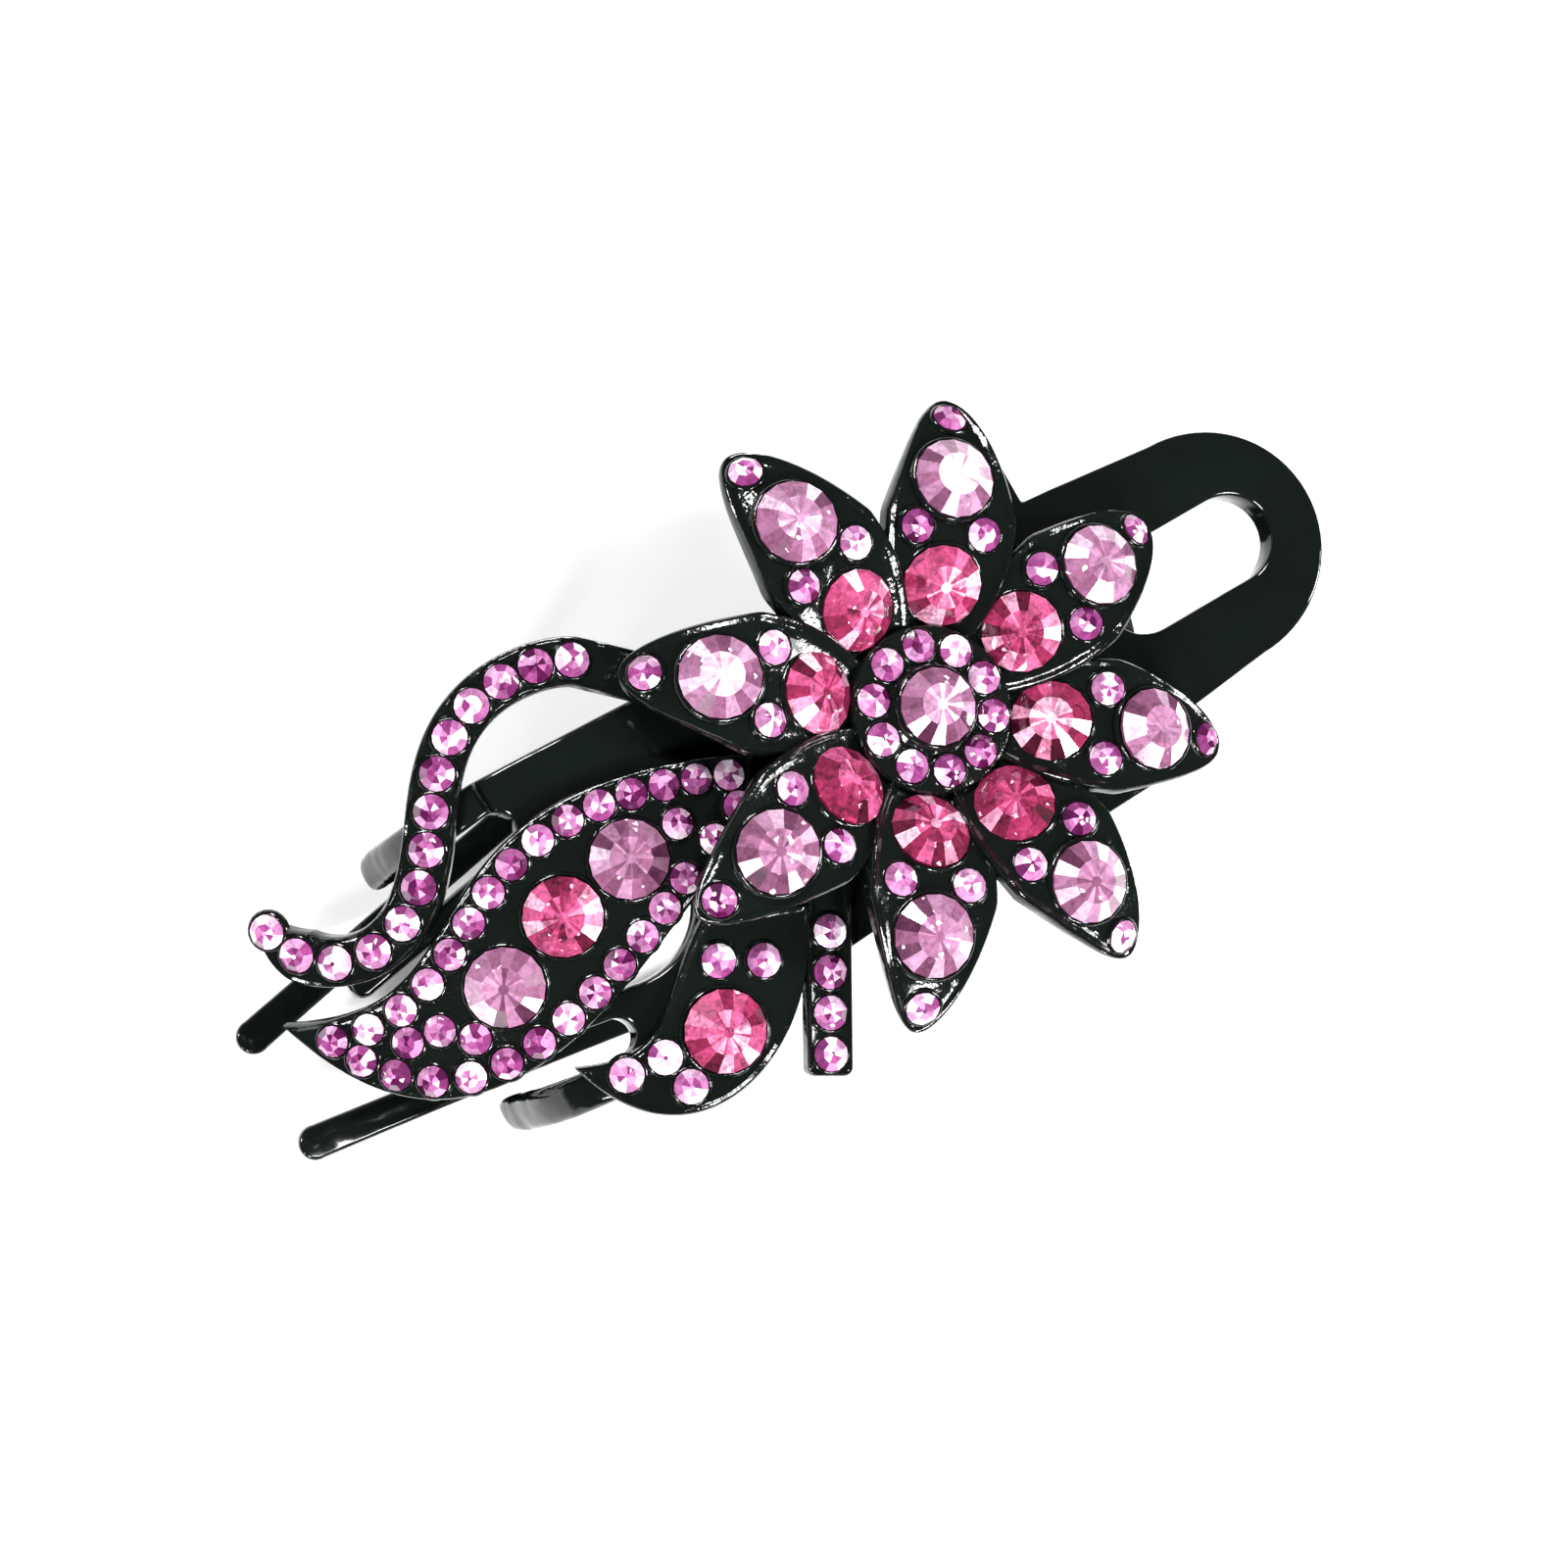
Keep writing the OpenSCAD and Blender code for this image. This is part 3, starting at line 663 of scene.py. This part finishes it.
bm = beaded_plate(
    curve_edge(((-24, -2), (-39, -7), (-60, -21), (-67, 5))),
    curve_edge(((-17, 5), (-51, 21), (-49, -5), (-67, 5))),
    spray_lay, 110, 14, bead=0.8, width=0.62,
)
add_seats(bm, "leaf_light_stone_near", "leaf_rose_stone", "leaf_light_stone_far", "leaf_upper_row",
          "leaf_lower_row", "leaf_middle_row", "leaf_root_stones")
leaf = finish_piece(bm, "leaf_moulding", MOULDED, "black_plastic")
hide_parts("leaf_base")

bm = beaded_plate(
    curve_edge(((-47, -12), (-43, -28), (-26, -23), (-20, -10))),
    curve_edge(((-47, -12), (-39, -16), (-38, -11), (-30, -6))),
    spray_lay, 90, 14, width=0.75,
)
add_seats(bm, "bud_rose_stone", "bud_small_stones")
bud = finish_piece(bm, "bud_moulding", MOULDED, "black_plastic")
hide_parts("bud_base")

TENDRIL = ((-28, 21), (-34, 25), (-56, 25), (-38, 4), (-63, 0), (-64, 14))


def tendril_edge(way):
    def edge(t):
        u = max((t - 0.12) / 0.88, 0)
        if t < 0.12:
            spot = Vector((-19, 13)).lerp(Vector(TENDRIL[0]), t / 0.12)
            run = Vector(TENDRIL[0]) - Vector((-19, 13))
        else:
            spot = bezier(TENDRIL, u)
            run = bezier(TENDRIL, min(u + 0.002, 1)) - bezier(TENDRIL, max(u - 0.002, 0))
        half = 2.35 * min(1, math.sqrt(max(1 - u, 0) * 14))
        return (spot + Vector((-run.y, run.x)).normalized() * way * half)[:]

    return edge


bm = beaded_plate(tendril_edge(-1), tendril_edge(1), spray_lay, 150, 6, bead=0.9, width=0.5)
add_seats(bm, "tendril_stones")
tendril = finish_piece(bm, "tendril_moulding", MOULDED, "black_plastic")
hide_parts("tendril_base")

STEM_FROM, STEM_TO = Vector((-17, -9)), Vector((-26.8, -25.2))


def stem_edge(way):
    run = (STEM_TO - STEM_FROM).normalized()

    def edge(t):
        spot = STEM_FROM.lerp(STEM_TO, t)
        left = (STEM_TO - spot).length
        half = 2.3 if left > 0.9 else 1.4 + math.sqrt(max(0.81 - (0.9 - left) ** 2, 0))
        return (spot + Vector((-run.y, run.x)) * way * half)[:]

    return edge


bm = beaded_plate(stem_edge(-1), stem_edge(1), spray_lay, 60, 6, bead=0.9, width=0.5)
add_seats(bm, "stem_stones")
stem = finish_piece(bm, "stem_moulding", MOULDED, "black_plastic")
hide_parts("stem_base")

# ---- Jaws ----
# The two sprung halves, moulded in smooth black plastic: the upper one carries the ornaments and
# ends in the finger loop, the lower one has the long straight tines. All their edges are rounded.
JAW = black_plastic("jaw_plastic", 1, 0.03, 0.0003, 0.06)
EDGE_ROUND, SHARP = 0.45 * MM, math.radians(32)
JOGS_FROM, JOGS_TO, JOG = -20.3 * MM, -18.9 * MM, 0.21 * MM
HOOK_FROM, HOOK_IN, HOOK_LAP, HOOK_GRID = -33.5 * MM, 10.5 * MM, 0.3 * MM, 0.24 * MM


def rounded_hook(jaw, way):
    """Copies one hooked tine off the jaw and rubs its box section down to a round one."""
    bm = jaw.copy()
    for spot, normal in (((HOOK_FROM + HOOK_LAP, 0, 0), (1, 0, 0)), ((0, way * HOOK_IN, 0), (0, -way, 0))):
        bmesh.ops.bisect_plane(bm, geom=bm.verts[:] + bm.edges[:] + bm.faces[:], plane_co=spot,
                               plane_no=normal, clear_outer=True)
    bmesh.ops.holes_fill(bm, edges=[e for e in bm.edges if e.is_boundary])
    held = bpy.data.meshes.new("held")
    bm.to_mesh(held)
    bm.free()
    holder = bpy.data.objects.new("held", held)
    bpy.context.collection.objects.link(holder)
    remesh = holder.modifiers.new("grid", "REMESH")
    remesh.mode, remesh.voxel_size = "VOXEL", HOOK_GRID
    bm = bmesh.new()
    bm.from_object(holder, bpy.context.evaluated_depsgraph_get())
    bpy.data.objects.remove(holder)
    for i in range(60):
        start = HOOK_FROM - min(i, 40) * 0.1 * MM
        soft = [v for v in bm.verts if v.co.x < start]
        bmesh.ops.smooth_vert(bm, verts=soft, factor=0.5, use_axis_x=True, use_axis_y=True,
                              use_axis_z=True)
    return bm


for node, body in (("upper_jaw", "upper"), ("lower_jaw", "lower")):
    bm = bmesh.new()
    bm.from_mesh(frame["nodes"][node].data)
    bmesh.ops.remove_doubles(bm, verts=bm.verts[:], dist=2e-6)
    jogs = [v for v in bm.verts if JOGS_FROM < v.co.x < JOGS_TO]
    bmesh.ops.remove_doubles(bm, verts=jogs, dist=JOG)
    bmesh.ops.dissolve_degenerate(bm, edges=bm.edges[:], dist=1e-6)
    bmesh.ops.dissolve_limit(bm, angle_limit=math.radians(0.6), verts=bm.verts[:], edges=bm.edges[:])
    edges = [e for e in bm.edges if e.is_manifold and e.calc_face_angle() > SHARP]
    bmesh.ops.bevel(bm, geom=edges, offset=EDGE_ROUND, segments=3, affect="EDGES", profile=0.5,
                    material=-1, clamp_overlap=False)
    if node == "upper_jaw":
        hooks = [rounded_hook(bm, way) for way in (1, -1)]
        bmesh.ops.bisect_plane(bm, geom=bm.verts[:] + bm.edges[:] + bm.faces[:],
                               plane_co=(HOOK_FROM, 0, 0), plane_no=(1, 0, 0))
        spots = [(f, f.calc_center_median()) for f in bm.faces]
        gone = [f for f, c in spots if c.x < HOOK_FROM and abs(c.y) > HOOK_IN]
        bmesh.ops.delete(bm, geom=gone, context="FACES")
        bmesh.ops.holes_fill(bm, edges=[e for e in bm.edges if e.is_boundary])
        for hook in hooks:
            add_to(bm, hook, Matrix.Scale(1 / MM, 4))
    piece = finish_piece(bm, node + "_moulding", JAW, "black_plastic", body, sharp=50)
    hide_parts(node)

# ---- Spring and pin ----
# A torsion spring of drawn steel wire lies round the hinge pin. One leg presses up on the jaw's
# plate, the other down on the paddle. The pin is pressed in the upper jaw's ears.


def steel(name, grain):
    made = bpy.data.materials.new(name)
    made.use_nodes = True
    n, l = made.node_tree.nodes, made.node_tree.links
    bsdf = n["Principled BSDF"]
    bsdf.inputs["Metallic"].default_value = 1
    spot = n.new("ShaderNodeTexCoord")
    drawn = n.new("ShaderNodeTexNoise")
    drawn.inputs["Scale"].default_value = grain
    drawn.inputs["Detail"].default_value = 4
    tone = n.new("ShaderNodeMixRGB")
    tone.inputs["Color1"].default_value = (0.36, 0.36, 0.37, 1)
    tone.inputs["Color2"].default_value = (0.62, 0.62, 0.63, 1)
    rough = n.new("ShaderNodeMapRange")
    rough.inputs["To Min"].default_value = 0.18
    rough.inputs["To Max"].default_value = 0.42
    l.new(spot.outputs["Object"], drawn.inputs["Vector"])
    l.new(drawn.outputs["Fac"], tone.inputs["Fac"])
    l.new(drawn.outputs["Fac"], rough.inputs["Value"])
    l.new(tone.outputs["Color"], bsdf.inputs["Base Color"])
    l.new(rough.outputs["Result"], bsdf.inputs["Roughness"])
    return made


frame["nodes"]["hinge_pin"].data.materials.clear()
frame["nodes"]["hinge_pin"].data.materials.append(steel("pin_steel", 900))

PIN = Vector((28, -0.5, 18))
COIL_R, WIRE_R, TURNS = 2.9, 0.6, 8
half = TURNS * 0.576
path = [PIN + Vector((0, -half, 0)) + Matrix.Rotation(math.radians(24), 3, "Y") @ Vector((s, 0, -COIL_R))
        for s in (16, 12, 8, 4)]
start, end = 1.5 * math.pi - math.radians(24), 0.5 * math.pi + math.radians(20) + 2 * math.pi
sweep = start - end + 2 * math.pi * (TURNS + 1)
for i in range(int(TURNS * 20) + 1):
    f = i / (TURNS * 20)
    a = start - sweep * f
    path.append(PIN + Vector((COIL_R * math.cos(a), -half + 2 * half * f, COIL_R * math.sin(a))))
path += [PIN + Vector((0, half, 0)) + Matrix.Rotation(math.radians(-20), 3, "Y") @ Vector((s, 0, COIL_R))
         for s in (2, 4, 6, 8, 9)]
curve = bpy.data.curves.new("spring_path", "CURVE")
curve.dimensions = "3D"
curve.bevel_depth = WIRE_R * MM
curve.bevel_resolution = 3
curve.use_fill_caps = True
spline = curve.splines.new("POLY")
spline.points.add(len(path) - 1)
for point, p in zip(spline.points, path):
    point.co = (*(p * MM), 1)
holder = bpy.data.objects.new("spring_path", curve)
bpy.context.collection.objects.link(holder)
bm = bmesh.new()
bm.from_mesh(holder.to_mesh())
bpy.data.objects.remove(holder)
spring = finish_piece(bm, "wound_spring", steel("spring_wire", 1400), "spring_steel", None)
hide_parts("torsion_spring")
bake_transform(spring)
